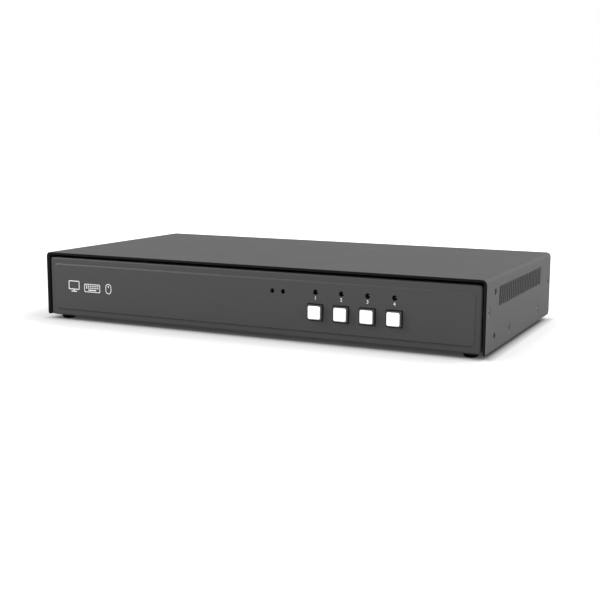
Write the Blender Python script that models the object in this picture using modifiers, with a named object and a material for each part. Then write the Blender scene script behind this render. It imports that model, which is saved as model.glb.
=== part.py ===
"""KVM switch in a low sheet-metal case: four front push buttons, a vented cover and a rear connector field.

Frame: +Z up, the front faces -Y, the origin is on the standing surface under the middle of the case.
Sizes are in metres.
"""

import math

import bmesh
import bpy
from mathutils import Matrix
from mathutils import Vector
from mathutils.geometry import interpolate_bezier

MM = 0.001

# Case: a folded cover over a base tray, closed by a front and a rear panel.
BODY_WIDTH = 308 * MM
BODY_DEPTH = 158 * MM
BODY_TOP = 46 * MM
COVER_SHEET = 1.6 * MM
SHEET = 1.2 * MM
TRAY_SHEET = 0.8 * MM
GAP = 0.3 * MM
WALL_BOTTOM = 3.1 * MM
COVER_BEND = 2.9 * MM
COVER_FRONT_CORNER = 1.5 * MM
COVER_REAR_CORNER = 3.5 * MM
TRAY_BEND = 1.5 * MM
TRAY_FLANGE_TOP = 15 * MM
FLANGE_DEPTH = 14 * MM

FRONT = -BODY_DEPTH / 2
REAR = BODY_DEPTH / 2
WALL_INSIDE = BODY_WIDTH / 2 - COVER_SHEET
TRAY_TOP = WALL_BOTTOM + TRAY_SHEET
TRAY_HALF_WIDTH = WALL_INSIDE - GAP

# Front panel and its raised field.
PANEL_FACE = FRONT + 0.9 * MM
PANEL_HALF_WIDTH = 151.4 * MM
PANEL_BOTTOM = WALL_BOTTOM
PANEL_TOP = 42.75 * MM
PANEL_CORNER = 2.0 * MM
PANEL_BEND = 1.3 * MM
PANEL_INSIDE = PANEL_FACE + SHEET
PANEL_BACK = PANEL_FACE + FLANGE_DEPTH
FIELD_RAISE = 0.75 * MM
FIELD_SLOPE = 1.2 * MM
FIELD_HALF_WIDTH = 147.6 * MM
FIELD_BOTTOM = 6.75 * MM
FIELD_TOP = 39.0 * MM
FIELD_CORNER = 1.6 * MM

# Push buttons: a white cap on a dark body that slides in a square hole and works a switch.
BUTTON_FIRST_X = 48.95 * MM
BUTTON_PITCH = 16.85 * MM
BUTTON_X = [BUTTON_FIRST_X + BUTTON_PITCH * number for number in range(4)]
BUTTON_Z = 19.8 * MM
BUTTON_HOLE = 10.5 * MM
BUTTON_SIZE = 9.3 * MM
BUTTON_CORNER = 0.55 * MM
BUTTON_FLANGE = 12.2 * MM
BUTTON_FLANGE_DEPTH = 1.2 * MM
CAP_SIZE = 8.0 * MM
CAP_THICKNESS = 0.6 * MM
CAP_CORNER = 1.0 * MM
CAP_EDGE = 0.4 * MM
CAP_FACE = FRONT - 2.3 * MM
PEG_RADIUS = 1.5 * MM
PEG_LENGTH = 2.8 * MM
STEM_RADIUS = 1.8 * MM
STEM_REACH = 2.4 * MM
SWITCH_BORE = 4.4 * MM
SWITCH_SIZE = 10.0 * MM
SWITCH_DEPTH = 6.0 * MM

# Indicator lights.
PORT_LED_Z = 31.95 * MM
PORT_LED_HOLE = 3.3 * MM
STATUS_LED_X = (19.75 * MM, 27.05 * MM)
STATUS_LED_Z = 30.95 * MM
STATUS_LED_HOLE = 3.0 * MM
LED_RADIUS = 1.5 * MM
LED_COLLAR = 1.9 * MM
LED_LENGTH = 5.0 * MM

# Side walls: vents, cover screws and the holes for rack ears.
VENT_COUNT = 24
VENT_FIRST_Y = FRONT + 28.4 * MM
VENT_PITCH = 4.3 * MM
VENT_WIDTH = 3.0 * MM
VENT_BOTTOM = 27.4 * MM
VENT_TOP = 39.3 * MM
RACK_HOLE_Y = FRONT + 18.5 * MM
RACK_HOLE_Z = (11.5 * MM, 37.1 * MM)
RACK_HOLE = 3.8 * MM
PANEL_SCREW_Y = 72.2 * MM
PANEL_SCREW_Z = 26.7 * MM
TRAY_SCREW_Y = (-27.7 * MM, 45.1 * MM)
TRAY_SCREW_Z = 10.8 * MM
COVER_SCREW_HEAD = 4.9 * MM
COVER_SCREW_SHANK = 2.6 * MM
COVER_SCREW_LENGTH = 6.2 * MM
SCREW_SINK = 0.35 * MM

# Rubber feet.
FOOT_X = 143.3 * MM
FOOT_Y = 70.0 * MM
FOOT_DIAMETER = 9.4 * MM
FOOT_SOLE = 6.0 * MM
FOOT_STEPS = 4

# Circuit boards and what stands on them.
BOARD = 1.6 * MM
MAIN_BOARD_BOTTOM = 9.0 * MM
MAIN_BOARD_TOP = MAIN_BOARD_BOTTOM + BOARD
MAIN_BOARD_HALF_WIDTH = 146 * MM
MAIN_BOARD_FRONT = -45 * MM
MAIN_BOARD_REAR = 76 * MM
FRONT_BOARD_FRONT = -66 * MM
FRONT_BOARD_BACK = FRONT_BOARD_FRONT + BOARD
FRONT_BOARD_LEFT = 11 * MM
FRONT_BOARD_RIGHT = 113 * MM
FRONT_BOARD_BOTTOM = 8.5 * MM
FRONT_BOARD_TOP = 38.5 * MM
SOLDER_DEPTH = 0.3 * MM
HEAT_SINK_X = -22 * MM
HEAT_SINK_Y = 8 * MM
HEAT_SINK_SIZE = 34 * MM
HEAT_SINK_HEIGHT = 13 * MM
HEAT_SINK_BASE = 2.5 * MM
FIN_COUNT = 8
FIN_THICKNESS = 1.4 * MM
SWITCH_CHIP_HEIGHT = 2 * MM
HEADER_X = 62 * MM
HEADER_Y = -37 * MM
HEADER_HEIGHT = 8 * MM
HEADER_HALF_LENGTH = 8 * MM
FRONT_HEADER_DEPTH = 6 * MM
FRONT_HEADER_Z = 16 * MM
RIBBON_HALF_WIDTH = 7 * MM
RIBBON_THICKNESS = 1.0 * MM

# Screws and posts of both boards.
BOARD_SCREW_X = 139.5 * MM
BOARD_SCREW_Y = (-38 * MM, 58 * MM)
BOARD_SCREW_HEAD = 5.6 * MM
BOARD_SCREW_RISE = 2.0 * MM
BOARD_SCREW_SHANK = 3.0 * MM
BOARD_SCREW_LENGTH = 5.0 * MM
POST_X = (15.5 * MM, 109 * MM)
POST_Z = 13 * MM
POST_DIAMETER = 6 * MM
BOSS_DIAMETER = 8 * MM

# Rear connectors: they stand on the main board and reach through the rear panel.
REAR_FACE = REAR - 0.4 * MM
REAR_INSIDE = REAR_FACE - SHEET
REAR_FRONT = REAR_FACE - FLANGE_DEPTH
SOCKET_BASE = MAIN_BOARD_TOP + GAP
SHELL_END = REAR + 1.2 * MM
JACK_END = REAR + 1.5 * MM
POWER_END = REAR + 2.3 * MM
CUTOUT_GAP = 0.35 * MM
GROUP_COUNT = 4
GROUP_PITCH = 48 * MM
GROUP_FIRST_X = -118 * MM
USB_SHIFT = 17.5 * MM
JACK_SHIFT = 31 * MM
CONSOLE_X = GROUP_FIRST_X + GROUP_COUNT * GROUP_PITCH + 2 * MM
CONSOLE_USB_X = CONSOLE_X + USB_SHIFT + 1 * MM
CONSOLE_JACK_X = CONSOLE_X + JACK_SHIFT + 2 * MM
POWER_X = 130 * MM
VIDEO = (16.6 * MM, 20 * MM, 21 * MM)
VIDEO_OPENING = (14.4 * MM, 12 * MM, 4.9 * MM)
VIDEO_LEVELS = (5.6 * MM, 15.6 * MM)
USB_B = (12.2 * MM, 16.5 * MM, 11.2 * MM)
USB_B_OPENING = (8.8 * MM, 10 * MM, 8.1 * MM)
OPENING_CLIP = 1.6 * MM
USB_A = (14.8 * MM, 18 * MM, 16.2 * MM)
USB_A_OPENING = (12.9 * MM, 13 * MM, 5.4 * MM)
USB_A_LEVELS = (3.9 * MM, 12.3 * MM)
JACK = (8.6 * MM, 12 * MM, 9 * MM)
JACK_NOSE = 6.8 * MM
JACK_BORE = 3.6 * MM
JACK_LEVEL = 5.0 * MM
POWER = (9.6 * MM, 13 * MM, 11.4 * MM)
POWER_NOSE = 8.8 * MM
POWER_BORE = 6.4 * MM
POWER_LEVEL = 6.2 * MM

# Sides of round shapes, by how closely they are seen, and how far joined shapes sink into each other.
FINE_ROUND = 28
ROUND = 20
SMALL_ROUND = 16
HOLE_ROUND = 12
SINK = 0.5 * MM


# ---------------------------------------------------------------- scene set-up

def clear_scene():
    """Remove every object, so the model starts from an empty scene."""
    for item in list(bpy.data.objects):
        bpy.data.objects.remove(item, do_unlink=True)


def new_collection(name):
    """Make a collection under the scene's own."""
    collection = bpy.data.collections.new(name)
    bpy.context.scene.collection.children.link(collection)
    return collection


def make_material(name, colour, roughness, metallic=0.0):
    """Make a Principled BSDF material."""
    material = bpy.data.materials.new(name)
    material.use_nodes = True
    shader = material.node_tree.nodes["Principled BSDF"]
    shader.inputs["Base Color"].default_value = (*colour, 1.0)
    shader.inputs["Roughness"].default_value = roughness
    shader.inputs["Metallic"].default_value = metallic
    material.diffuse_color = (*colour, 1.0)
    return material


# ---------------------------------------------------------------- shape helpers

def place(name, mesh, material=None, location=(0, 0, 0), rotation=(0, 0, 0), parent=None):
    """Put a mesh in the model as a named part."""
    part = bpy.data.objects.new(name, mesh)
    if material and not mesh.materials:
        mesh.materials.append(material)
    part.location = location
    part.rotation_euler = rotation
    part.parent = parent
    PARTS.objects.link(part)
    return part


def mesh_from(name, shape):
    """Turn a bmesh into a mesh."""
    mesh = bpy.data.meshes.new(name)
    shape.normal_update()
    shape.to_mesh(mesh)
    shape.free()
    return mesh


def box_mesh(name, low, high):
    """A box between two corners."""
    low = Vector(low)
    size = Vector(high) - low
    shape = bmesh.new()
    matrix = Matrix.Translation(low + size / 2) @ Matrix.Diagonal((*size, 1.0))
    bmesh.ops.create_cube(shape, size=1.0, matrix=matrix)
    return mesh_from(name, shape)


def rod_mesh(name, radius, start, end, segments=ROUND, end_radius=None):
    """A rod or cone between two points."""
    start = Vector(start)
    run = Vector(end) - start
    turn = Vector((0, 0, 1)).rotation_difference(run).to_matrix().to_4x4()
    shape = bmesh.new()
    bmesh.ops.create_cone(
        shape,
        cap_ends=True,
        segments=segments,
        radius1=radius,
        radius2=radius if end_radius is None else end_radius,
        depth=run.length,
        matrix=Matrix.Translation(start + run / 2) @ turn,
    )
    return mesh_from(name, shape)


def tool(mesh, location=(0, 0, 0)):
    """Wrap a mesh as a helper object, which is not a part of the model."""
    item = bpy.data.objects.new(mesh.name, mesh)
    item.location = location
    item.hide_render = True
    item.display_type = "WIRE"
    return item


def combine(target, operation, tools):
    """Cut the tools from the target, or join them to it, with one exact Boolean."""
    group = bpy.data.collections.new(f"{target.name}_{operation.lower()}")
    TOOLS.children.link(group)
    for item in tools:
        group.objects.link(item)
    modifier = target.modifiers.new(operation.title(), "BOOLEAN")
    modifier.operation = operation
    modifier.operand_type = "COLLECTION"
    modifier.collection = group
    modifier.solver = "EXACT"


def soften(target, width, segments=2, angle=30):
    """Round the edges that are sharper than the angle, in degrees."""
    modifier = target.modifiers.new("Edges", "BEVEL")
    modifier.width = width
    modifier.segments = segments
    modifier.limit_method = "ANGLE"
    modifier.angle_limit = math.radians(angle)


def thicken(target, thickness):
    """Give an open surface a thickness on its inner side."""
    modifier = target.modifiers.new("Sheet", "SOLIDIFY")
    modifier.thickness = thickness
    modifier.offset = -1.0
    modifier.use_even_offset = True


def smooth(mesh, angle=35):
    """Shade round faces smooth and keep sharp edges sharp."""
    mesh.shade_smooth()
    mesh.set_sharp_from_angle(angle=math.radians(angle))


def profile_mesh(name, points):
    """An open chain of points, radius and height, for a turned part."""
    shape = bmesh.new()
    corners = [shape.verts.new((radius, 0, height)) for radius, height in points]
    for first, second in zip(corners, corners[1:]):
        shape.edges.new((first, second))
    return mesh_from(name, shape)


def spin(target, steps=ROUND):
    """Turn a profile about its Z axis into a closed body."""
    modifier = target.modifiers.new("Turn", "SCREW")
    modifier.steps = steps
    modifier.render_steps = steps
    modifier.use_merge_vertices = True
    modifier.merge_threshold = 0.00001


def frozen(target):
    """Apply an object's modifiers, remove the object and return the finished mesh."""
    bpy.context.view_layer.update()
    evaluated = target.evaluated_get(bpy.context.evaluated_depsgraph_get())
    mesh = bpy.data.meshes.new_from_object(evaluated)
    mesh.name = target.name
    bpy.data.objects.remove(target, do_unlink=True)
    return mesh


# ---------------------------------------------------------------- case

def screw_places():
    """Centre and outward side of each cover screw, by name."""
    places = {}
    for side_name, side in (("left", -1), ("right", 1)):
        places[f"cover_screw_{side_name}_front"] = (side, -PANEL_SCREW_Y, PANEL_SCREW_Z)
        places[f"cover_screw_{side_name}_mid_front"] = (side, TRAY_SCREW_Y[0], TRAY_SCREW_Z)
        places[f"cover_screw_{side_name}_mid_rear"] = (side, TRAY_SCREW_Y[1], TRAY_SCREW_Z)
        places[f"cover_screw_{side_name}_rear"] = (side, PANEL_SCREW_Y, PANEL_SCREW_Z)
    return places


def folded_sheet(half_width, front, rear, flat, edge, bend):
    """A U-shaped open sheet: a flat at one height, and a wall to the edge height along each side."""
    outline = [(-half_width, edge), (-half_width, flat), (half_width, flat), (half_width, edge)]
    shape = bmesh.new()
    rows = []
    for y in (front, rear):
        rows.append([shape.verts.new((x, y, z)) for x, z in outline])
    for column in range(3):
        corners = (rows[0][column], rows[0][column + 1], rows[1][column + 1], rows[1][column])
        shape.faces.new(corners if flat > edge else corners[::-1])
    folds = [line for line in shape.edges if len(line.link_faces) == 2]
    bmesh.ops.bevel(shape, geom=folds, offset=bend, segments=4, profile=0.5, affect="EDGES")
    return shape


def slot_mesh(name, width, length, depth):
    """An upright slot with round ends, cut along X."""
    shape = bmesh.new()
    sides = 8
    turn = Matrix.Rotation(math.radians(90), 4, "Y") @ Matrix.Rotation(math.pi / sides, 4, "Z")
    radius = width / 2 / math.cos(math.pi / sides)
    bmesh.ops.create_cone(
        shape, cap_ends=True, segments=sides, radius1=radius, radius2=radius, depth=depth, matrix=turn
    )
    stretch = (length - width) / 2
    for corner in shape.verts:
        corner.co.z += math.copysign(stretch, corner.co.z)
    return mesh_from(name, shape)


def cover_cutters():
    """Vent slots, rack-ear holes and countersunk screw holes in both side walls."""
    tools = []
    through = 4 * COVER_SHEET
    slot = slot_mesh("vent_slot", VENT_WIDTH, VENT_TOP - VENT_BOTTOM, through)
    for side in (-1, 1):
        wall = side * (BODY_WIDTH - COVER_SHEET) / 2
        for number in range(VENT_COUNT):
            centre = (wall, VENT_FIRST_Y + VENT_PITCH * number, (VENT_TOP + VENT_BOTTOM) / 2)
            tools.append(tool(slot, centre))
        for z in RACK_HOLE_Z:
            start = (wall - through / 2, RACK_HOLE_Y, z)
            end = (wall + through / 2, RACK_HOLE_Y, z)
            tools.append(tool(rod_mesh("rack_hole", RACK_HOLE / 2, start, end, SMALL_ROUND)))
    slope = (COVER_SCREW_HEAD - COVER_SCREW_SHANK) / 2 / (COVER_SHEET - SCREW_SINK)
    small = COVER_SCREW_SHANK / 2 + GAP - slope * SINK
    large = small + slope * (COVER_SHEET + 2 * SINK)
    for side, y, z in screw_places().values():
        start = (side * (BODY_WIDTH / 2 + SINK), y, z)
        end = (side * (WALL_INSIDE - SINK), y, z)
        tools.append(tool(rod_mesh("countersink", large, start, end, ROUND, small)))
    return tools


def build_cover():
    """Top and both side walls in one folded sheet, painted."""
    shape = folded_sheet(BODY_WIDTH / 2, FRONT, REAR, BODY_TOP, WALL_BOTTOM, COVER_BEND)
    for y, radius in ((FRONT, COVER_FRONT_CORNER), (REAR, COVER_REAR_CORNER)):
        ends = [corner for corner in shape.verts if abs(corner.co.y - y) < GAP]
        corners = [corner for corner in ends if abs(corner.co.z - WALL_BOTTOM) < GAP]
        bmesh.ops.bevel(shape, geom=corners, offset=radius, segments=4, profile=0.5, affect="VERTICES")
    cover = place("top_cover", mesh_from("top_cover", shape), GREY_PAINT)
    thicken(cover, COVER_SHEET)
    combine(cover, "DIFFERENCE", cover_cutters())


def build_tray():
    """Base tray between the panels: floor, two side flanges and four stand-offs for the main board."""
    front = PANEL_BACK + GAP
    rear = REAR_FRONT - GAP
    shape = folded_sheet(TRAY_HALF_WIDTH, front, rear, WALL_BOTTOM, TRAY_FLANGE_TOP, TRAY_BEND)
    tray = place("base_tray", mesh_from("base_tray", shape), DARK_STEEL)
    thicken(tray, TRAY_SHEET)
    posts = []
    cuts = []
    for x, y in board_screw_places():
        start = (x, y, TRAY_TOP - SINK)
        end = (x, y, MAIN_BOARD_BOTTOM - GAP)
        posts.append(tool(rod_mesh("stand_off", POST_DIAMETER / 2, start, end, SMALL_ROUND)))
        floor = (x, y, TRAY_TOP + GAP)
        cuts.append(tool(rod_mesh("stand_off_bore", board_bore(), floor, (x, y, MAIN_BOARD_TOP), HOLE_ROUND)))
    combine(tray, "UNION", posts)
    for side in (-1, 1):
        for y in TRAY_SCREW_Y:
            cuts.append(tool(side_hole("tray_thread", thread_radius(), side, y, TRAY_SCREW_Z)))
        cuts.append(tool(side_hole("tray_rack_hole", RACK_HOLE / 2, side, RACK_HOLE_Y, RACK_HOLE_Z[0])))
    combine(tray, "DIFFERENCE", cuts)


def thread_radius():
    """Radius of the holes that the cover screws go into."""
    return COVER_SCREW_SHANK / 2 + GAP


def board_bore():
    """Radius of the holes that the board screws go through or into."""
    return BOARD_SCREW_SHANK / 2 + GAP


def side_hole(name, radius, side, y, z):
    """A hole tool that goes through a side flange just inside the cover."""
    reach = 4 * MM
    start = (side * (TRAY_HALF_WIDTH - reach), y, z)
    return rod_mesh(name, radius, start, (side * (TRAY_HALF_WIDTH + reach), y, z), HOLE_ROUND)


def edges_along(shape):
    """The edges of a box or pan that run front to back."""
    return [line for line in shape.edges if abs(line.verts[0].co.y - line.verts[1].co.y) > GAP]


def edges_at(shape, y):
    """The edges that lie in one upright plane."""
    return [line for line in shape.edges if all(abs(corner.co.y - y) < GAP / 10 for corner in line.verts)]


def upright_slab(half_width, low, high, near, far):
    """A slab across the case, between two heights and two depths."""
    shape = bmesh.new()
    size = Vector((2 * half_width, abs(far - near), high - low))
    centre = Vector((0, (near + far) / 2, (low + high) / 2))
    matrix = Matrix.Translation(centre) @ Matrix.Diagonal((*size, 1.0))
    bmesh.ops.create_cube(shape, size=1.0, matrix=matrix)
    return shape


def open_pan(name, half_width, high, face, depth):
    """A shallow open box: a face at y=face and four walls that run depth behind it, bent from one sheet."""
    shape = upright_slab(half_width, PANEL_BOTTOM, high, face, face + depth)
    back = [side for side in shape.faces if abs(side.calc_center_median().y - face - depth) < GAP]
    bmesh.ops.delete(shape, geom=back, context="FACES_ONLY")
    bmesh.ops.bevel(
        shape, geom=edges_along(shape), offset=PANEL_CORNER, segments=4, profile=0.5, affect="EDGES"
    )
    bmesh.ops.bevel(
        shape, geom=edges_at(shape, face), offset=PANEL_BEND, segments=3, profile=0.5, affect="EDGES"
    )
    return mesh_from(name, shape)


def field_mesh():
    """The raised field of the front panel: a slab with sloping edges and small round corners."""
    front = PANEL_FACE - FIELD_RAISE
    back = PANEL_FACE + SHEET / 2
    shape = upright_slab(FIELD_HALF_WIDTH, FIELD_BOTTOM, FIELD_TOP, front, back)
    bmesh.ops.bevel(
        shape, geom=edges_along(shape), offset=FIELD_CORNER, segments=3, profile=0.5, affect="EDGES"
    )
    rim = [corner for corner in shape.verts if abs(corner.co.y - front) < GAP / 10]
    middle = (FIELD_TOP + FIELD_BOTTOM) / 2
    for corner in rim:
        corner.co.x *= 1 - FIELD_SLOPE / FIELD_HALF_WIDTH
        corner.co.z = middle + (corner.co.z - middle) * (1 - 2 * FIELD_SLOPE / (FIELD_TOP - FIELD_BOTTOM))
    return mesh_from("raised_field", shape)


def build_front_panel():
    """Front panel: an open-backed pan with a raised field, holes, screw bosses and board posts."""
    pan = open_pan("front_panel", PANEL_HALF_WIDTH, PANEL_TOP, PANEL_FACE, FLANGE_DEPTH)
    panel = place("front_panel", pan, PANEL_PAINT)
    thicken(panel, SHEET)
    joined = [tool(field_mesh())]
    cuts = []
    for x in POST_X:
        start = (x, PANEL_INSIDE - SINK, POST_Z)
        end = (x, FRONT_BOARD_FRONT - GAP, POST_Z)
        joined.append(tool(rod_mesh("board_post", POST_DIAMETER / 2, start, end, SMALL_ROUND)))
        bore_start = (x, PANEL_INSIDE + 2 * MM, POST_Z)
        bore_end = (x, FRONT_BOARD_BACK, POST_Z)
        cuts.append(tool(rod_mesh("post_bore", board_bore(), bore_start, bore_end, HOLE_ROUND)))
    for side in (-1, 1):
        start = (side * (PANEL_HALF_WIDTH - SINK), -PANEL_SCREW_Y, PANEL_SCREW_Z)
        end = (side * TRAY_HALF_WIDTH, -PANEL_SCREW_Y, PANEL_SCREW_Z)
        joined.append(tool(rod_mesh("screw_boss", BOSS_DIAMETER / 2, start, end, SMALL_ROUND)))
        cuts.append(tool(side_hole("boss_thread", thread_radius(), side, -PANEL_SCREW_Y, PANEL_SCREW_Z)))
    combine(panel, "UNION", joined)
    half = BUTTON_HOLE / 2
    before = PANEL_FACE - 2 * MM
    behind = PANEL_INSIDE + 2 * MM
    for x in BUTTON_X:
        low = (x - half, before, BUTTON_Z - half)
        high = (x + half, behind, BUTTON_Z + half)
        cuts.append(tool(box_mesh("button_hole", low, high)))
    for x, z, hole in led_places().values():
        cuts.append(tool(rod_mesh("led_hole", hole / 2, (x, before, z), (x, behind, z), SMALL_ROUND)))
    combine(panel, "DIFFERENCE", cuts)


def build_rear_panel():
    """Rear panel: an open pan just inside the cover, with a cut-out for each connector."""
    pan = open_pan("rear_panel", TRAY_HALF_WIDTH, BODY_TOP - COVER_SHEET - GAP, REAR_FACE, -FLANGE_DEPTH)
    panel = place("rear_panel", pan, DARK_STEEL)
    thicken(panel, SHEET)
    cuts = []
    before = REAR_INSIDE - 1.5 * MM
    behind = REAR_FACE + 1.5 * MM
    for x, size in shell_places():
        half = size[0] / 2 + CUTOUT_GAP
        low = (x - half, before, SOCKET_BASE - CUTOUT_GAP)
        high = (x + half, behind, SOCKET_BASE + size[2] + CUTOUT_GAP)
        cuts.append(tool(box_mesh("shell_cutout", low, high)))
    for x, level, nose in nose_places():
        start = (x, before, SOCKET_BASE + level)
        end = (x, behind, SOCKET_BASE + level)
        cuts.append(tool(rod_mesh("nose_cutout", nose / 2 + CUTOUT_GAP, start, end)))
    for side in (-1, 1):
        cuts.append(tool(side_hole("rear_thread", thread_radius(), side, PANEL_SCREW_Y, PANEL_SCREW_Z)))
    combine(panel, "DIFFERENCE", cuts)


def countersunk_screw_mesh():
    """Flat-head screw, head up along +Z with its face at the origin, with a cross recess."""
    head = COVER_SCREW_HEAD / 2
    shank = COVER_SCREW_SHANK / 2
    cone = COVER_SHEET - SCREW_SINK
    tip = COVER_SCREW_LENGTH
    points = [(0, 0), (head, 0), (shank, -cone), (shank, -tip + shank), (0, -tip)]
    screw = place("cover_screw", profile_mesh("cover_screw", points), BLACK_SCREW)
    spin(screw)
    combine(screw, "DIFFERENCE", cross_recess(COVER_SCREW_HEAD * 0.56, 0.9 * MM, 0))
    mesh = frozen(screw)
    smooth(mesh)
    return mesh


def pan_screw_mesh():
    """Pan-head machine screw, head up along +Z with its seat at the origin, with a cross recess."""
    head = BOARD_SCREW_HEAD / 2
    shank = BOARD_SCREW_SHANK / 2
    rise = BOARD_SCREW_RISE
    points = [(0, rise), (head * 0.7, rise), (head, rise * 0.6), (head, 0)]
    points += [(shank, 0), (shank, -BOARD_SCREW_LENGTH), (0, -BOARD_SCREW_LENGTH)]
    screw = place("board_screw", profile_mesh("board_screw", points), BRIGHT_STEEL)
    spin(screw, SMALL_ROUND)
    combine(screw, "DIFFERENCE", cross_recess(BOARD_SCREW_HEAD / 2, 1.0 * MM, rise))
    mesh = frozen(screw)
    smooth(mesh)
    return mesh


def cross_recess(span, depth, top):
    """The two crossing blades that cut a screw's drive recess."""
    half = span / 2
    narrow = span * 0.14
    bottom = top - depth
    long_way = box_mesh("recess_blade", (-half, -narrow, bottom), (half, narrow, top + SINK))
    cross_way = box_mesh("recess_blade", (-narrow, -half, bottom), (narrow, half, top + SINK))
    return [tool(long_way), tool(cross_way)]


def build_cover_screws():
    """Eight countersunk screws that hold the cover, four on each side, a little below its surface."""
    mesh = countersunk_screw_mesh()
    for name, (side, y, z) in screw_places().items():
        face = side * (BODY_WIDTH / 2 - SCREW_SINK)
        place(name, mesh, None, (face, y, z), (0, side * math.pi / 2, 0))


def build_feet():
    """Four low bowl-shaped rubber feet under the lower flanges of the panels."""
    sole = FOOT_SOLE / 2
    flare = FOOT_DIAMETER / 2 - sole
    top = PANEL_BOTTOM - GAP
    points = [(0, top)]
    for step in reversed(range(FOOT_STEPS + 1)):
        angle = math.pi / 2 * step / FOOT_STEPS
        points.append((sole + flare * math.sin(angle), top * (1 - math.cos(angle))))
    points.append((0, 0))
    foot = place("foot", profile_mesh("foot", points), RUBBER)
    spin(foot, FINE_ROUND)
    mesh = frozen(foot)
    smooth(mesh)
    for end_name, end in (("front", -1), ("rear", 1)):
        for side_name, side in (("left", -1), ("right", 1)):
            place(f"foot_{end_name}_{side_name}", mesh, None, (side * FOOT_X, end * FOOT_Y, 0))


# ---------------------------------------------------------------- buttons and lights

def square_block(name, size, near, far, material, corner):
    """A square block along Y, between near and far, with rounded long edges."""
    half = size / 2
    block = place(name, box_mesh(name, (-half, near, -half), (half, far, half)), material)
    soften(block, corner, 2)
    return block


def button_body_mesh():
    """Dark button body about the button's own axis: block, retaining flange and stem."""
    seat = CAP_FACE + CAP_THICKNESS + GAP
    flange_front = PANEL_INSIDE + GAP
    flange_back = flange_front + BUTTON_FLANGE_DEPTH
    body = square_block("button_body", BUTTON_SIZE, seat, flange_back, BUTTON_PLASTIC, BUTTON_CORNER)
    half = BUTTON_FLANGE / 2
    flange = box_mesh("button_flange", (-half, flange_front, -half), (half, flange_back, half))
    stem_end = (0, switch_front() + STEM_REACH, 0)
    stem = rod_mesh("button_stem", STEM_RADIUS, (0, flange_back - SINK, 0), stem_end, SMALL_ROUND)
    combine(body, "UNION", [tool(flange), tool(stem)])
    bore_end = (0, seat + PEG_LENGTH + GAP, 0)
    bore = rod_mesh("cap_bore", PEG_RADIUS + GAP, (0, seat - SINK, 0), bore_end, SMALL_ROUND)
    combine(body, "DIFFERENCE", [tool(bore)])
    return frozen(body)


def button_cap_mesh():
    """White cap about the button's own axis: a thin pillowed square with a peg behind it."""
    back = CAP_FACE + CAP_THICKNESS
    shape = upright_slab(CAP_SIZE / 2, -CAP_SIZE / 2, CAP_SIZE / 2, CAP_FACE, back)
    bmesh.ops.bevel(
        shape, geom=edges_along(shape), offset=CAP_CORNER, segments=4, profile=0.5, affect="EDGES"
    )
    bmesh.ops.bevel(
        shape, geom=edges_at(shape, CAP_FACE), offset=CAP_EDGE, segments=3, profile=0.5, affect="EDGES"
    )
    cap = place("button_cap", mesh_from("button_cap", shape), WHITE_PLASTIC)
    peg = rod_mesh("cap_peg", PEG_RADIUS, (0, back - GAP, 0), (0, back + PEG_LENGTH, 0), SMALL_ROUND)
    combine(cap, "UNION", [tool(peg)])
    mesh = frozen(cap)
    smooth(mesh)
    return mesh


def switch_front():
    """Front face of the push switches."""
    return FRONT_BOARD_FRONT - GAP - SWITCH_DEPTH


def push_switch_mesh():
    """Switch housing about the button's axis, with the bore that the stem slides in."""
    near = switch_front()
    far = FRONT_BOARD_FRONT - GAP
    housing = square_block("push_switch", SWITCH_SIZE, near, far, BLACK_PLASTIC, BUTTON_CORNER)
    bore_end = (0, near + SWITCH_BORE, 0)
    bore = rod_mesh("stem_bore", STEM_RADIUS + GAP, (0, near - SINK, 0), bore_end, SMALL_ROUND)
    combine(housing, "DIFFERENCE", [tool(bore)])
    return frozen(housing)


def build_buttons():
    """Four buttons, each a cap and a body on an empty at its axis, and the switch behind it."""
    body = button_body_mesh()
    cap = button_cap_mesh()
    switch = push_switch_mesh()
    for number, x in enumerate(BUTTON_X, start=1):
        axis = bpy.data.objects.new(f"button_axis_{number}", None)
        axis.location = (x, 0, BUTTON_Z)
        PARTS.objects.link(axis)
        place(f"button_body_{number}", body, parent=axis)
        place(f"button_cap_{number}", cap, parent=axis)
        place(f"push_switch_{number}", switch, location=(x, 0, BUTTON_Z))


def led_places():
    """X, Z and panel hole of each light, by name."""
    places = {}
    for number, x in enumerate(BUTTON_X, start=1):
        places[f"port_led_{number}"] = (x, PORT_LED_Z, PORT_LED_HOLE)
    for number, x in enumerate(STATUS_LED_X, start=1):
        places[f"status_led_{number}"] = (x, STATUS_LED_Z, STATUS_LED_HOLE)
    return places


def build_leds():
    """Domed lights on spacers, just behind their holes. The dome points along +Z before it is placed."""
    length = FRONT_BOARD_FRONT - GAP - (PANEL_INSIDE + GAP)
    points = [(0, 0)]
    for step in range(1, 5):
        angle = math.radians(90 - 22.5 * step)
        points.append((LED_RADIUS * math.cos(angle), LED_RADIUS * (math.sin(angle) - 1)))
    points += [(LED_RADIUS, -LED_LENGTH), (LED_COLLAR, -LED_LENGTH), (LED_COLLAR, -length), (0, -length)]
    led = place("led", profile_mesh("led", points), LED_PLASTIC)
    spin(led, SMALL_ROUND)
    mesh = frozen(led)
    smooth(mesh)
    for name, (x, z, _) in led_places().items():
        place(name, mesh, None, (x, PANEL_INSIDE + GAP, z), (math.pi / 2, 0, 0))


# ---------------------------------------------------------------- boards

def board_screw_places():
    """X and Y of the main board's screws."""
    return [(side * BOARD_SCREW_X, y) for side in (-1, 1) for y in BOARD_SCREW_Y]


def chip(x, y, width, depth, height):
    """A square component on the main board, from its centre and size."""
    low = (x - width / 2, y - depth / 2, MAIN_BOARD_TOP - SOLDER_DEPTH)
    high = (x + width / 2, y + depth / 2, MAIN_BOARD_TOP + height)
    return tool(box_mesh("chip", low, high))


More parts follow.
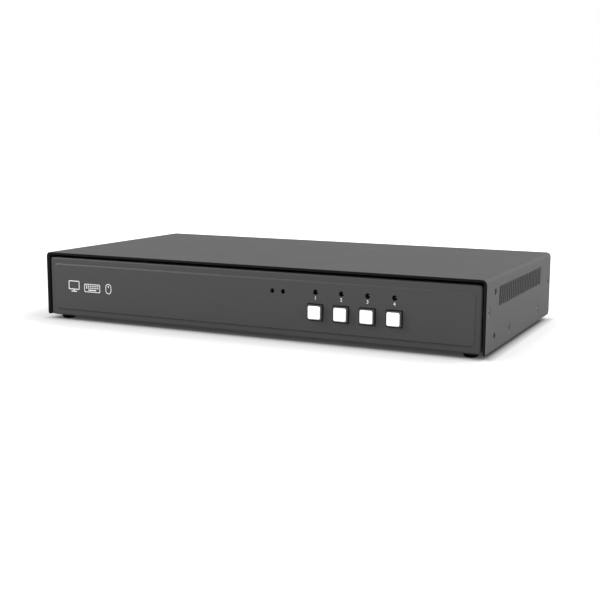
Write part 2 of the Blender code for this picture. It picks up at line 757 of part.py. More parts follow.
def can(x, y, diameter, height):
    """A can capacitor on the main board, from its centre and size."""
    start = (x, y, MAIN_BOARD_TOP - SOLDER_DEPTH)
    return tool(rod_mesh("can", diameter / 2, start, (x, y, MAIN_BOARD_TOP + height), HOLE_ROUND))


def soldered_parts():
    """Chips, can capacitors and the cable header of the main board."""
    parts = [chip(HEAT_SINK_X, HEAT_SINK_Y, 18 * MM, 18 * MM, SWITCH_CHIP_HEIGHT)]
    parts.append(chip(HEADER_X, HEADER_Y, 2 * HEADER_HALF_LENGTH, 6 * MM, HEADER_HEIGHT))
    for x in group_places():
        parts.append(chip(x + 4 * MM, 40 * MM, 9 * MM, 9 * MM, 1.2 * MM))
        parts.append(chip(x + 22 * MM, 44 * MM, 6 * MM, 5 * MM, 1.5 * MM))
        parts.append(can(x - 6 * MM, 32 * MM, 6 * MM, 7 * MM))
    parts.append(chip(60 * MM, 6 * MM, 14 * MM, 14 * MM, 1.6 * MM))
    parts.append(chip(95 * MM, -18 * MM, 10 * MM, 10 * MM, 1.6 * MM))
    parts.append(chip(-90 * MM, -12 * MM, 12 * MM, 8 * MM, 1.6 * MM))
    parts.append(chip(108 * MM, 32 * MM, 12 * MM, 12 * MM, 5 * MM))
    for step in range(3):
        parts.append(can(126 * MM, (2 + 14 * step) * MM, 10 * MM, 14 * MM))
    return parts


def build_main_board():
    """Main board with what is soldered to it, and its four screw holes."""
    low = (-MAIN_BOARD_HALF_WIDTH, MAIN_BOARD_FRONT, MAIN_BOARD_BOTTOM)
    high = (MAIN_BOARD_HALF_WIDTH, MAIN_BOARD_REAR, MAIN_BOARD_TOP)
    board = place("main_board", box_mesh("main_board", low, high), GREEN_BOARD)
    combine(board, "UNION", soldered_parts())
    holes = []
    for x, y in board_screw_places():
        start = (x, y, MAIN_BOARD_BOTTOM - SINK)
        end = (x, y, MAIN_BOARD_TOP + SINK)
        holes.append(tool(rod_mesh("board_hole", board_bore(), start, end, HOLE_ROUND)))
    combine(board, "DIFFERENCE", holes)


def build_heat_sink():
    """Finned heat sink on the video switch chip."""
    bottom = MAIN_BOARD_TOP + SWITCH_CHIP_HEIGHT + GAP
    half = HEAT_SINK_SIZE / 2
    low = (HEAT_SINK_X - half, HEAT_SINK_Y - half, bottom)
    high = (HEAT_SINK_X + half, HEAT_SINK_Y + half, bottom + HEAT_SINK_HEIGHT)
    block = place("heat_sink", box_mesh("heat_sink", low, high), ALUMINIUM)
    space = (HEAT_SINK_SIZE - FIN_COUNT * FIN_THICKNESS) / (FIN_COUNT - 1)
    cuts = []
    for number in range(FIN_COUNT - 1):
        start = low[0] + FIN_THICKNESS + number * (FIN_THICKNESS + space)
        cut_low = (start, low[1] - SINK, bottom + HEAT_SINK_BASE)
        cut_high = (start + space, high[1] + SINK, high[2] + SINK)
        cuts.append(tool(box_mesh("fin_space", cut_low, cut_high)))
    combine(block, "DIFFERENCE", cuts)


def build_front_board():
    """Small upright board behind the front panel, with its cable header."""
    low = (FRONT_BOARD_LEFT, FRONT_BOARD_FRONT, FRONT_BOARD_BOTTOM)
    high = (FRONT_BOARD_RIGHT, FRONT_BOARD_BACK, FRONT_BOARD_TOP)
    board = place("front_board", box_mesh("front_board", low, high), GREEN_BOARD)
    half = FRONT_HEADER_DEPTH / 2
    low = (HEADER_X - HEADER_HALF_LENGTH, FRONT_BOARD_BACK - SOLDER_DEPTH, FRONT_HEADER_Z - half)
    high = (HEADER_X + HEADER_HALF_LENGTH, FRONT_BOARD_BACK + FRONT_HEADER_DEPTH, FRONT_HEADER_Z + half)
    combine(board, "UNION", [tool(box_mesh("front_header", low, high))])
    holes = []
    for x in POST_X:
        start = (x, FRONT_BOARD_FRONT - SINK, POST_Z)
        end = (x, FRONT_BOARD_BACK + SINK, POST_Z)
        holes.append(tool(rod_mesh("board_hole", board_bore(), start, end, HOLE_ROUND)))
    combine(board, "DIFFERENCE", holes)


def build_board_screws():
    """Pan-head screws of both boards."""
    mesh = pan_screw_mesh()
    for number, (x, y) in enumerate(board_screw_places(), start=1):
        place(f"board_screw_{number}", mesh, None, (x, y, MAIN_BOARD_TOP + GAP))
    for number, x in enumerate(POST_X, start=1):
        seat = (x, FRONT_BOARD_BACK + GAP, POST_Z)
        place(f"front_board_screw_{number}", mesh, None, seat, (-math.pi / 2, 0, 0))


def build_ribbon():
    """Flat cable that arches from the front board's header down into the main board's header."""
    start = Vector((0, FRONT_BOARD_BACK + FRONT_HEADER_DEPTH + GAP, FRONT_HEADER_Z))
    end = Vector((0, HEADER_Y, MAIN_BOARD_TOP + HEADER_HEIGHT + GAP))
    leave = start + Vector((0, 16 * MM, 0))
    arrive = end + Vector((0, 0, 18 * MM))
    path = interpolate_bezier(start, leave, arrive, end, 14)
    shape = bmesh.new()
    rows = []
    for point in path:
        left = shape.verts.new((HEADER_X - RIBBON_HALF_WIDTH, point.y, point.z))
        right = shape.verts.new((HEADER_X + RIBBON_HALF_WIDTH, point.y, point.z))
        rows.append((left, right))
    for first, second in zip(rows, rows[1:]):
        shape.faces.new((first[0], first[1], second[1], second[0]))
    ribbon = place("ribbon_cable", mesh_from("ribbon_cable", shape), GREY_CABLE)
    modifier = ribbon.modifiers.new("Cable", "SOLIDIFY")
    modifier.thickness = RIBBON_THICKNESS
    modifier.offset = 0.0
    modifier.use_even_offset = True


# ---------------------------------------------------------------- rear connectors

def group_places():
    """X of the video part of each computer's group."""
    return [GROUP_FIRST_X + GROUP_PITCH * number for number in range(GROUP_COUNT)]


def shell_places():
    """X and size of every square-sided connector."""
    places = [(CONSOLE_X, VIDEO), (CONSOLE_USB_X, USB_A)]
    for x in group_places():
        places.append((x, VIDEO))
        places.append((x + USB_SHIFT, USB_B))
    return places


def nose_places():
    """X, height above the board and nose diameter of every round connector."""
    places = [(POWER_X, POWER_LEVEL, POWER_NOSE), (CONSOLE_JACK_X, JACK_LEVEL, JACK_NOSE)]
    for x in group_places():
        places.append((x + JACK_SHIFT, JACK_LEVEL, JACK_NOSE))
    return places


def socket_opening(name, opening, level, clip, clip_at_top=False):
    """A socket opening in a shell, cut in from the rear: a rectangle that may have two clipped corners."""
    width, depth, height = opening
    shape = upright_slab(width / 2, level - height / 2, level + height / 2, SHELL_END - depth, SHELL_END + MM)
    clip_height = level + height / 2 if clip_at_top else level - height / 2
    if clip:
        corners = [line for line in edges_along(shape) if abs(line.verts[0].co.z - clip_height) < GAP / 3]
        bmesh.ops.bevel(shape, geom=corners, offset=clip, segments=1, profile=0.5, affect="EDGES")
    return mesh_from(name, shape)


def shell_mesh(name, size, openings):
    """A metal connector shell about its own centre line, standing on the board, with its openings."""
    width, depth, height = size
    low = (-width / 2, SHELL_END - depth, SOCKET_BASE)
    high = (width / 2, SHELL_END, SOCKET_BASE + height)
    shell = place(name, box_mesh(name, low, high), BRIGHT_STEEL)
    combine(shell, "DIFFERENCE", [tool(opening) for opening in openings])
    return frozen(shell)


def nosed_jack_mesh(name, size, nose, bore, level, end):
    """A jack about its own centre line: a block behind the panel, a round nose and a bore."""
    width, depth, height = size
    block_rear = REAR_INSIDE - GAP
    low = (-width / 2, block_rear - depth, SOCKET_BASE)
    high = (width / 2, block_rear, SOCKET_BASE + height)
    jack = place(name, box_mesh(name, low, high), BLACK_PLASTIC)
    axis_z = SOCKET_BASE + level
    stem = rod_mesh(f"{name}_nose", nose / 2, (0, block_rear - SINK, axis_z), (0, end, axis_z))
    combine(jack, "UNION", [tool(stem)])
    bore_start = (0, block_rear - depth * 0.7, axis_z)
    hole = rod_mesh(f"{name}_bore", bore / 2, bore_start, (0, end + SINK, axis_z), SMALL_ROUND)
    combine(jack, "DIFFERENCE", [tool(hole)])
    mesh = frozen(jack)
    smooth(mesh)
    return mesh


def video_mesh():
    """Two video sockets in one shell, one above the other."""
    openings = []
    for level in VIDEO_LEVELS:
        openings.append(socket_opening("video_opening", VIDEO_OPENING, SOCKET_BASE + level, OPENING_CLIP))
    return shell_mesh("video_stack", VIDEO, openings)


def usb_b_mesh():
    """A USB-B socket, which has its clipped corners at the top."""
    level = SOCKET_BASE + USB_B[2] / 2
    opening = socket_opening("usb_b_opening", USB_B_OPENING, level, OPENING_CLIP, True)
    return shell_mesh("usb_b_socket", USB_B, [opening])


def usb_a_mesh():
    """Two USB-A sockets in one shell, one above the other."""
    openings = []
    for level in USB_A_LEVELS:
        openings.append(socket_opening("usb_a_opening", USB_A_OPENING, SOCKET_BASE + level, 0))
    return shell_mesh("usb_a_stack", USB_A, openings)


def build_connectors():
    """All rear connectors, group by group."""
    video = video_mesh()
    usb_b = usb_b_mesh()
    usb_a = usb_a_mesh()
    jack = nosed_jack_mesh("audio_jack", JACK, JACK_NOSE, JACK_BORE, JACK_LEVEL, JACK_END)
    power = nosed_jack_mesh("power_jack", POWER, POWER_NOSE, POWER_BORE, POWER_LEVEL, POWER_END)
    for number, x in enumerate(group_places(), start=1):
        place(f"video_input_{number}", video, location=(x, 0, 0))
        place(f"usb_b_socket_{number}", usb_b, location=(x + USB_SHIFT, 0, 0))
        place(f"audio_input_{number}", jack, location=(x + JACK_SHIFT, 0, 0))
    place("console_video_output", video, location=(CONSOLE_X, 0, 0))
    place("console_usb_a_stack", usb_a, location=(CONSOLE_USB_X, 0, 0))
    place("console_audio_output", jack, location=(CONSOLE_JACK_X, 0, 0))
    place("power_jack", power, location=(POWER_X, 0, 0))


clear_scene()
PARTS = new_collection("kvm_switch")
TOOLS = new_collection("cutters")

GREY_PAINT = make_material("grey_paint", (0.13, 0.13, 0.135), 0.55, 0.1)
PANEL_PAINT = make_material("panel_paint", (0.08, 0.08, 0.082), 0.5, 0.0)
DARK_STEEL = make_material("dark_steel", (0.03, 0.03, 0.032), 0.5, 0.3)
BRIGHT_STEEL = make_material("bright_steel", (0.6, 0.6, 0.6), 0.3, 1.0)
ALUMINIUM = make_material("aluminium", (0.75, 0.75, 0.76), 0.4, 1.0)
BLACK_SCREW = make_material("black_screw", (0.07, 0.07, 0.07), 0.4, 0.6)
RUBBER = make_material("rubber", (0.015, 0.015, 0.015), 0.8)
WHITE_PLASTIC = make_material("white_plastic", (0.82, 0.82, 0.81), 0.35)
BUTTON_PLASTIC = make_material("button_plastic", (0.03, 0.03, 0.032), 0.45)
BLACK_PLASTIC = make_material("black_plastic", (0.02, 0.02, 0.02), 0.5)
LED_PLASTIC = make_material("led_plastic", (0.35, 0.3, 0.3), 0.15)
GREEN_BOARD = make_material("green_board", (0.02, 0.12, 0.05), 0.45)
GREY_CABLE = make_material("grey_cable", (0.35, 0.35, 0.36), 0.5)

build_cover()
build_tray()
build_front_panel()
build_rear_panel()
build_cover_screws()
build_feet()
build_buttons()
build_leds()
build_main_board()
build_heat_sink()
build_front_board()
build_board_screws()
build_ribbon()
build_connectors()
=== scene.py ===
"""Looks of the KVM switch: materials, printed marks, connector insides, floor, light and camera."""
import math

import bmesh
import bpy
from mathutils import Matrix
from mathutils import Vector


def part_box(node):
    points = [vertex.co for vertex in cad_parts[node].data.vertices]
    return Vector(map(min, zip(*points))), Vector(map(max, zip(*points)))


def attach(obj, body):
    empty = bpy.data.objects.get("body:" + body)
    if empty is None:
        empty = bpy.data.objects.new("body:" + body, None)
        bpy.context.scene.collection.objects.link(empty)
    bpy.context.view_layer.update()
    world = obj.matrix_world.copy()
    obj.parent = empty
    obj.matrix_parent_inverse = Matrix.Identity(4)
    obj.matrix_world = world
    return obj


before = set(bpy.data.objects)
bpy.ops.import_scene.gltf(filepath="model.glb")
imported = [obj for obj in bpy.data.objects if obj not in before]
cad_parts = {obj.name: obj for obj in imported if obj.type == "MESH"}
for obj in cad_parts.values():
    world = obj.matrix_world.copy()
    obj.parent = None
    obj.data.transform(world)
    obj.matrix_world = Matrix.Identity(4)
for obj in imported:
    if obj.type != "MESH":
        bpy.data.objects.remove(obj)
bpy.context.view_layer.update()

MM = 0.001
CHASSIS = "chassis"

# Faces that the looks are placed on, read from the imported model.
COVER_LOW, COVER_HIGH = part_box("top_cover")
FIELD_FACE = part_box("front_panel")[0].y
REAR_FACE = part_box("rear_panel")[1].y
COVER_BEND = 2.9 * MM
COVER_SHEET = 1.6 * MM

# Heights of the openings' middles over the lowest point of their connectors.
VIDEO_LEVELS = (5.6 * MM, 15.6 * MM)
USB_LEVELS = (3.9 * MM, 12.3 * MM)
AUDIO_LEVEL = 5.0 * MM
POWER_LEVEL = 6.2 * MM

# Printed marks: thickness of the ink, a digit's height as a share of its type size, steps in a
# quarter of a round corner.
PRINT_DEPTH = 0.05 * MM
DIGIT_SHARE = 0.72
CURVE_STEPS = 5


# ---------------------------------------------------------------- node helpers

class Nodes:
    """A short way to build a material's node tree."""

    def __init__(self, name):
        self.material = bpy.data.materials.new(name)
        self.material.use_nodes = True
        self.tree = self.material.node_tree
        self.shader = self.tree.nodes["Principled BSDF"]

    def add(self, kind, settings=None, **inputs):
        """Add a node, set its properties and fill or link its inputs."""
        node = self.tree.nodes.new(kind)
        for key, value in (settings or {}).items():
            setattr(node, key, value)
        for key, value in inputs.items():
            self.put(node, key.replace("_", " "), value)
        return node

    def put(self, node, key, value):
        """Give an input a value, or link it to another node's output."""
        socket = node.inputs[int(key)] if key.isdigit() else node.inputs[key]
        if isinstance(value, bpy.types.NodeSocket):
            self.tree.links.new(value, socket)
        else:
            socket.default_value = value

    def shade(self, **inputs):
        """Fill or link the Principled shader's inputs."""
        for key, value in inputs.items():
            self.put(self.shader, key.replace("_", " "), value)

    def place(self):
        """Where the surface point is, in metres in the part's own frame."""
        return self.add("ShaderNodeTexCoord").outputs["Object"]

    def noise(self, scale, detail=3.0, roughness=0.55, vector=None):
        """Fractal noise between 0 and 1."""
        vector = self.place() if vector is None else vector
        node = self.add(
            "ShaderNodeTexNoise", Scale=scale, Detail=detail, Roughness=roughness, Vector=vector
        )
        return node.outputs["Fac"]

    def math(self, operation, first, second=0.0, clamp=False):
        """One arithmetic step."""
        node = self.add("ShaderNodeMath", {"operation": operation, "use_clamp": clamp})
        self.put(node, "0", first)
        self.put(node, "1", second)
        return node.outputs[0]

    def spread(self, value, low, high, start=0.0, end=1.0):
        """Map a value from start..end to low..high."""
        node = self.add("ShaderNodeMapRange", Value=value)
        for key, number in (("From Min", start), ("From Max", end), ("To Min", low), ("To Max", high)):
            node.inputs[key].default_value = number
        return node.outputs["Result"]

    def mix(self, share, first, second):
        """Blend two colours."""
        node = self.add("ShaderNodeMix", {"data_type": "RGBA"})
        self.put(node, "0", share)
        self.put(node, "6", first)
        self.put(node, "7", second)
        return node.outputs[2]

    def tint(self, colour, value, amount):
        """Scale a colour's brightness about 1 by a noise value."""
        shade = self.spread(value, 1 - amount, 1 + amount)
        node = self.add("ShaderNodeVectorMath", {"operation": "SCALE"})
        self.put(node, "0", colour[:3] if isinstance(colour, tuple) else colour)
        self.put(node, "Scale", shade)
        return node.outputs[0]

    def bump(self, height, depth, strength):
        """Surface relief of a depth in metres."""
        node = self.add("ShaderNodeBump", Height=height, Strength=strength, Distance=depth)
        return node.outputs["Normal"]

    def worn_edge(self, radius):
        """1 on edges, 0 on flats, with broken borders."""
        soft = self.add("ShaderNodeBevel", {"samples": 6}, Radius=radius).outputs[0]
        true = self.add("ShaderNodeNewGeometry").outputs["Normal"]
        facing = self.add("ShaderNodeVectorMath", {"operation": "DOT_PRODUCT"})
        self.put(facing, "0", soft)
        self.put(facing, "1", true)
        bend = self.math("SUBTRACT", 1.0, facing.outputs["Value"])
        broken = self.math("MULTIPLY", bend, self.spread(self.noise(600), 0.2, 1.8))
        return self.spread(broken, 0.0, 1.0, 0.02, 0.25)

    def axis(self, name):
        """One coordinate of the surface point."""
        parts = self.add("ShaderNodeSeparateXYZ", Vector=self.place())
        return parts.outputs[name]


def grey(value):
    """A neutral colour."""
    return (value, value, value, 1.0)


# ---------------------------------------------------------------- materials

def powder_coat(name, colour, grain, relief, rough, wear):
    """Satin powder coat: fine orange peel, faint blotches and, with some wear, rubbed edges."""
    look = Nodes(name)
    blotch = look.noise(14.0, 4.0)
    speck = look.noise(grain * 1.4, 2.0)
    base = look.tint(colour, blotch, 0.05)
    base = look.tint(base, speck, 0.05)
    if wear:
        base = look.mix(look.math("MULTIPLY", look.worn_edge(0.35 * MM), wear), base, grey(0.3))
    peel = look.noise(grain, 3.0, 0.6)
    look.shade(Base_Color=base, Roughness=look.spread(look.noise(40.0), *rough))
    look.shade(Normal=look.bump(peel, relief * MM, 0.9))
    return look


def cover_paint():
    """The cover's satin paint."""
    look = powder_coat("cover_paint", grey(0.058), 1300.0, 0.014, (0.55, 0.65), 0.03)
    look.shade(Specular_IOR_Level=0.04)
    return look.material


def cut_edge():
    """Near-black paint on the cut edges of the cover's sheet: painted shade, like the dark gap round
    the front panel.
    """
    look = powder_coat("cover_rim_painted_shade", grey(0.004), 1500.0, 0.01, (0.5, 0.65), 0)
    look.shade(Specular_IOR_Level=0.05)
    return look.material


def slot_edge():
    """Painted edges of the slots and holes in the cover."""
    look = powder_coat("cover_slot_edge", grey(0.056), 1300.0, 0.012, (0.5, 0.65), 0)
    look.shade(Specular_IOR_Level=0.15)
    return look.material


def cover_inside():
    """Near-black paint on the inside of the cover: painted shade of the closed case."""
    look = powder_coat("cover_inside", grey(0.01), 1500.0, 0.01, (0.55, 0.7), 0)
    look.shade(Specular_IOR_Level=0.2)
    return look.material


def panel_paint():
    """The front panel's smoother matte paint."""
    look = powder_coat("panel_paint", grey(0.031), 2600.0, 0.004, (0.42, 0.52), 0.15)
    look.shade(Specular_IOR_Level=0.28)
    return look.material


def black_coat():
    """Black coat of the tray and the rear panel."""
    look = powder_coat("black_coat", grey(0.01), 1400.0, 0.012, (0.45, 0.6), 0.1)
    look.shade(Specular_IOR_Level=0.3)
    return look.material


def plated_steel(name, colour, rough=0.28):
    """Plated sheet steel with fine draw lines and small stains."""
    look = Nodes(name)
    stretched = look.add("ShaderNodeMapping", Vector=look.place())
    stretched.inputs["Scale"].default_value = (1.0, 0.06, 1.0)
    lines = look.noise(2600.0, 2.0, 0.5, stretched.outputs[0])
    stain = look.noise(160.0, 4.0)
    look.shade(Base_Color=look.tint(colour, stain, 0.1), Metallic=1.0)
    marks = look.math("MULTIPLY", lines, stain)
    look.shade(Roughness=look.spread(marks, rough * 0.7, rough * 2.0, 0.1, 0.5))
    look.shade(Normal=look.bump(lines, 0.004 * MM, 0.7))
    return look.material


def moulded(name, colour, rough=0.4, grain=1800.0, relief=0.004, coat=0.0, clouds=0.03):
    """Moulded plastic with a fine spark grain and faint flow marks."""
    look = Nodes(name)
    flow = look.noise(70.0, 3.0)
    look.shade(Base_Color=look.tint(colour, flow, clouds))
    look.shade(Roughness=look.spread(look.noise(300.0), rough * 0.85, rough * 1.15))
    look.shade(Normal=look.bump(look.noise(grain, 2.0), relief * MM, 0.8))
    look.shade(Coat_Weight=coat, Coat_Roughness=0.2)
    return look.material


def rubber():
    """Dull black rubber with dust in its grain."""
    look = Nodes("foot_rubber")
    dust = look.spread(look.noise(900.0, 4.0), 0.0, 1.0, 0.55, 0.8)
    look.shade(Base_Color=look.mix(look.math("MULTIPLY", dust, 0.1), grey(0.002), grey(0.03)))
    look.shade(Roughness=look.spread(look.noise(300.0), 0.7, 0.9), Specular_IOR_Level=0.05)
    look.shade(Normal=look.bump(look.noise(2200.0, 3.0), 0.01 * MM, 0.9))
    return look.material


def light_lens():
    """Smoked lens of an unlit indicator."""
    look = Nodes("light_lens")
    look.shade(Base_Color=look.tint((0.03, 0.012, 0.012, 1.0), look.noise(500.0), 0.15))
    look.shade(Roughness=look.spread(look.noise(400.0), 0.08, 0.16), IOR=1.5, Coat_Weight=0.6)
    look.shade(Normal=look.bump(look.noise(900.0), 0.002 * MM, 0.5))
    return look.material


def circuit_board(name, top):
    """Green solder mask with copper traces, and black parts above the height top, where given."""
    look = Nodes(name)
    edges = {"feature": "DISTANCE_TO_EDGE", "distance": "MANHATTAN"}
    cells = look.add("ShaderNodeTexVoronoi", edges, Vector=look.place(), Scale=260.0)
    trace = look.spread(cells.outputs["Distance"], 1.0, 0.0, 0.03, 0.06)
    base = look.tint((0.012, 0.085, 0.035, 1.0), look.noise(60.0), 0.12)
    base = look.mix(look.math("MULTIPLY", trace, 0.5, True), base, (0.03, 0.17, 0.07, 1.0))
    part = look.math("GREATER_THAN", look.axis("Z"), top) if top else 0.0
    base = look.mix(part, base, look.tint(grey(0.02), look.noise(300.0), 0.3))
    look.shade(Base_Color=base, Roughness=look.spread(look.noise(200.0), 0.3, 0.5))
    look.shade(Normal=look.bump(trace, 0.02 * MM, 0.6))
    return look.material


def anodised():
    """Extruded aluminium with draw lines along the fins."""
    look = Nodes("anodised_aluminium")
    stretched = look.add("ShaderNodeMapping", Vector=look.place())
    stretched.inputs["Scale"].default_value = (1.0, 0.03, 1.0)
    lines = look.noise(3000.0, 2.0, 0.5, stretched.outputs[0])
    look.shade(Base_Color=look.tint(grey(0.6), lines, 0.12), Metallic=1.0)
    look.shade(Roughness=look.spread(lines, 0.3, 0.5), Normal=look.bump(lines, 0.006 * MM, 0.7))
    return look.material


def ribbon():
    """Grey flat cable with one ridge for each wire and a red first wire."""
    look = Nodes("ribbon_wires")
    pitch = 1.27 * MM
    low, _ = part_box("ribbon_cable")
    along = look.math("DIVIDE", look.math("SUBTRACT", look.axis("X"), low.x), pitch)
    ridge = look.math("SINE", look.math("MULTIPLY", along, 2 * math.pi))
    first = look.math("LESS_THAN", along, 1.0)
    base = look.tint(grey(0.32), look.noise(90.0), 0.06)
    base = look.mix(first, base, (0.4, 0.03, 0.02, 1.0))
    look.shade(Base_Color=base, Roughness=look.spread(look.noise(200.0), 0.4, 0.55))
    look.shade(Normal=look.bump(look.spread(ridge, 0.0, 1.0, -1.0, 1.0), 0.25 * MM, 0.8))
    return look.material


def ink(name, colour):
    """Screen-printed ink, a little uneven."""
    look = Nodes(name)
    look.shade(Base_Color=look.tint(colour, look.noise(700.0, 4.0), 0.06))
    look.shade(Roughness=look.spread(look.noise(500.0), 0.45, 0.65))
    look.shade(Normal=look.bump(look.noise(2500.0), 0.003 * MM, 0.6))
    return look.material


def floor_white():
    """Plain pale studio floor with a painted shadow under the case and a painted glow that grows away
    from it.
    """
    look = Nodes("studio_floor")
    beyond_x = look.math("SUBTRACT", look.math("ABSOLUTE", look.axis("X")), COVER_HIGH.x)
    beyond_y = look.math("SUBTRACT", look.math("ABSOLUTE", look.axis("Y")), COVER_HIGH.y)
    nearest = look.math("MAXIMUM", beyond_x, beyond_y)
    # Painted shadow: the floor's colour goes dark under the case's footprint and comes back just past
    # its edges.
    painted_shadow_x = look.spread(beyond_x, 0.15, 1.0, -4 * MM, 5 * MM)
    painted_shadow_y = look.spread(beyond_y, 0.15, 1.0, -15 * MM, 4 * MM)
    shade = look.math("MAXIMUM", painted_shadow_x, painted_shadow_y)
    base = look.mix(shade, grey(0.0), look.tint(grey(0.75), look.noise(3.0), 0.004))
    # Painted light: the floor glows, not at all near the case and more and more away from it, and a
    # faint glow under the case's sides lifts the painted shadow there.
    painted_glow_near = look.spread(nearest, 0.0, 0.2, 8 * MM, 45 * MM)
    painted_glow_far = look.spread(nearest, 0.0, 0.3, 0.1, 0.6)
    fill = look.spread(beyond_x, 0.043, 0.0, -10 * MM, -3 * MM)
    lit = look.math("MAXIMUM", fill, look.math("ADD", painted_glow_near, painted_glow_far))
    look.shade(Base_Color=base, Roughness=0.9, Specular_IOR_Level=0.1)
    look.shade(Emission_Color=grey(1.0), Emission_Strength=lit)
    return look.material


# ---------------------------------------------------------------- dressing the CAD nodes

def dress(names, material, edge=0.08 * MM, segments=2, angle=35):
    """Give CAD nodes their material, clean their flat faces and round their sharp edges."""
    for name in names:
        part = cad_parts[name]
        part.data.materials.clear()
        part.data.materials.append(material)
        part.data.shade_smooth()
        weld = part.modifiers.new("weld", "WELD")
        weld.merge_threshold = 0.005 * MM
        flat = part.modifiers.new("flat", "DECIMATE")
        flat.decimate_type = "DISSOLVE"
        flat.angle_limit = math.radians(0.5)
        bevel = part.modifiers.new("edges", "BEVEL")
        bevel.width = edge
        bevel.segments = segments
        bevel.limit_method = "ANGLE"
        bevel.angle_limit = math.radians(angle)
        bevel.use_clamp_overlap = False
        weigh = part.modifiers.new("normals", "WEIGHTED_NORMAL")
        weigh.keep_sharp = True


def mark_cover(part):
    """Give the cover's outside and slot edges their paint, and its cut rim and inside their near-black
    painted shade.
    """
    outside, rim, inside, slot = range(4)
    square_on = 0.8
    for material in (cut_edge(), cover_inside(), slot_edge()):
        part.data.materials.append(material)
    fold_x = COVER_HIGH.x - COVER_BEND
    fold_z = COVER_HIGH.z - COVER_BEND
    for face in part.data.polygons:
        centre = face.center
        reach = Vector((max(abs(centre.x) - fold_x, 0), 0, max(centre.z - fold_z, 0)))
        outward = math.copysign(1, centre.x) * face.normal.x
        facing = Vector((outward, face.normal.y, face.normal.z)).dot(reach.normalized())
        off_rim = abs(centre.y) < COVER_HIGH.y - COVER_BEND
        in_wall = off_rim and centre.z > COVER_LOW.z + COVER_BEND
        if facing > square_on and reach.length > COVER_BEND - COVER_SHEET / 4:
            face.material_index = outside
        elif in_wall and abs(facing) <= square_on:
            face.material_index = slot
        # Faces turned inward get the inside's painted shade; the cut faces left over get the rim's
        # painted shade.
        elif facing < -square_on:
            face.material_index = inside
        else:
            face.material_index = rim


def named(*starts):
    """The CAD nodes whose names start with one of these words."""
    return [name for name in sorted(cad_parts) if name.startswith(starts)]


# ---------------------------------------------------------------- pieces

def piece_from(name, shape, material, body=CHASSIS, round_angle=None):
    """Turn a bmesh into a piece that rides on a body."""
    bmesh.ops.recalc_face_normals(shape, faces=shape.faces[:])
    mesh = bpy.data.meshes.new(name)
    shape.to_mesh(mesh)
    shape.free()
    if round_angle:
        mesh.shade_smooth()
        mesh.set_sharp_from_angle(angle=math.radians(round_angle))
    mesh.materials.append(material)
    piece = bpy.data.objects.new(name, mesh)
    bpy.context.scene.collection.objects.link(piece)
    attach(piece, body)
    return piece


def add_bar(shape, x, z, width, height, inner, outer, edge):
    """Add a bar with rounded edges to a bmesh: its middle and size in X and Z, its ends in Y."""
    centre = Matrix.Translation((x, (inner + outer) / 2, z))
    matrix = centre @ Matrix.Diagonal((width, outer - inner, height, 1.0))
    made = bmesh.ops.create_cube(shape, size=1.0, matrix=matrix)
    corners = set(made["verts"])
    edges = [item for item in shape.edges if set(item.verts) <= corners]
    bmesh.ops.bevel(shape, geom=edges, offset=edge, segments=2, profile=0.5, affect="EDGES")


def add_turned(shape, points, centre, steps=32):
    """Add a turned body to a bmesh; its points are a radius and a distance from the centre, in Y."""
    rings = []
    for radius, along in points:
        if radius == 0:
            rings.append([shape.verts.new(centre + Vector((0, along, 0)))])
            continue
        ring = []
        for step in range(steps):
            angle = 2 * math.pi * step / steps
            offset = Vector((radius * math.cos(angle), along, radius * math.sin(angle)))
            ring.append(shape.verts.new(centre + offset))
        rings.append(ring)
    for first, second in zip(rings, rings[1:]):
        for step in range(steps):
            after = (step + 1) % steps
            corners = [first[step % len(first)], first[after % len(first)]]
            corners += [second[after % len(second)], second[step % len(second)]]
            shape.faces.new(list(dict.fromkeys(corners)))


def rounded(centre_x, centre_y, width, height, radius):
    """Outline of a rectangle with round corners, in the drawing plane."""
    points = []
    for quarter in range(4):
        corner_x = centre_x + (width / 2 - radius) * (1 if quarter in (0, 3) else -1)
        corner_y = centre_y + (height / 2 - radius) * (1 if quarter in (0, 1) else -1)
        for step in range(CURVE_STEPS + 1):
            angle = math.radians(90 * (quarter + step / CURVE_STEPS))
            points.append((corner_x + radius * math.cos(angle), corner_y + radius * math.sin(angle)))
    return points


def printed(name, outlines, place, back, material):
    """Flat ink on a face: closed outlines in metres, where an outline inside another is a hole."""
    drawing = bpy.data.curves.new(name, "CURVE")
    drawing.dimensions = "2D"
    drawing.fill_mode = "BOTH"
    drawing.extrude = PRINT_DEPTH / 2
    for outline in outlines:
        spline = drawing.splines.new("POLY")
        spline.points.add(len(outline) - 1)
        for point, (x, y) in zip(spline.points, outline):
            point.co = (x, y, 0, 1)
        spline.use_cyclic_u = True
    settle(name, drawing, place, back, material)


def numeral(name, text, height, place, back, material):
    """A printed digit of a given height."""
    drawing = bpy.data.curves.new(name, "FONT")
    drawing.body = text
    drawing.align_x = "CENTER"
    drawing.align_y = "CENTER"
    drawing.size = height / DIGIT_SHARE
    drawing.extrude = PRINT_DEPTH / 2
    drawing.resolution_u = 4
    settle(name, drawing, place, back, material)


def settle(name, drawing, place, back, material):
    """Turn a drawing into a mesh on the front face, or on the rear face when back is set."""
    source = bpy.data.objects.new(name, drawing)
    bpy.context.scene.collection.objects.link(source)
    bpy.context.view_layer.update()
    drawn = source.evaluated_get(bpy.context.evaluated_depsgraph_get())
    mesh = bpy.data.meshes.new_from_object(drawn)
    bpy.data.objects.remove(source, do_unlink=True)
    turn = Matrix.Rotation(math.pi, 4, "Z") if back else Matrix.Identity(4)
    mesh.transform(Matrix.Translation(place) @ turn @ Matrix.Rotation(math.pi / 2, 4, "X"))
    mesh.materials.clear()
    mesh.materials.append(material)
    mesh.name = name
    piece = bpy.data.objects.new(name, mesh)
    bpy.context.scene.collection.objects.link(piece)
    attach(piece, CHASSIS)


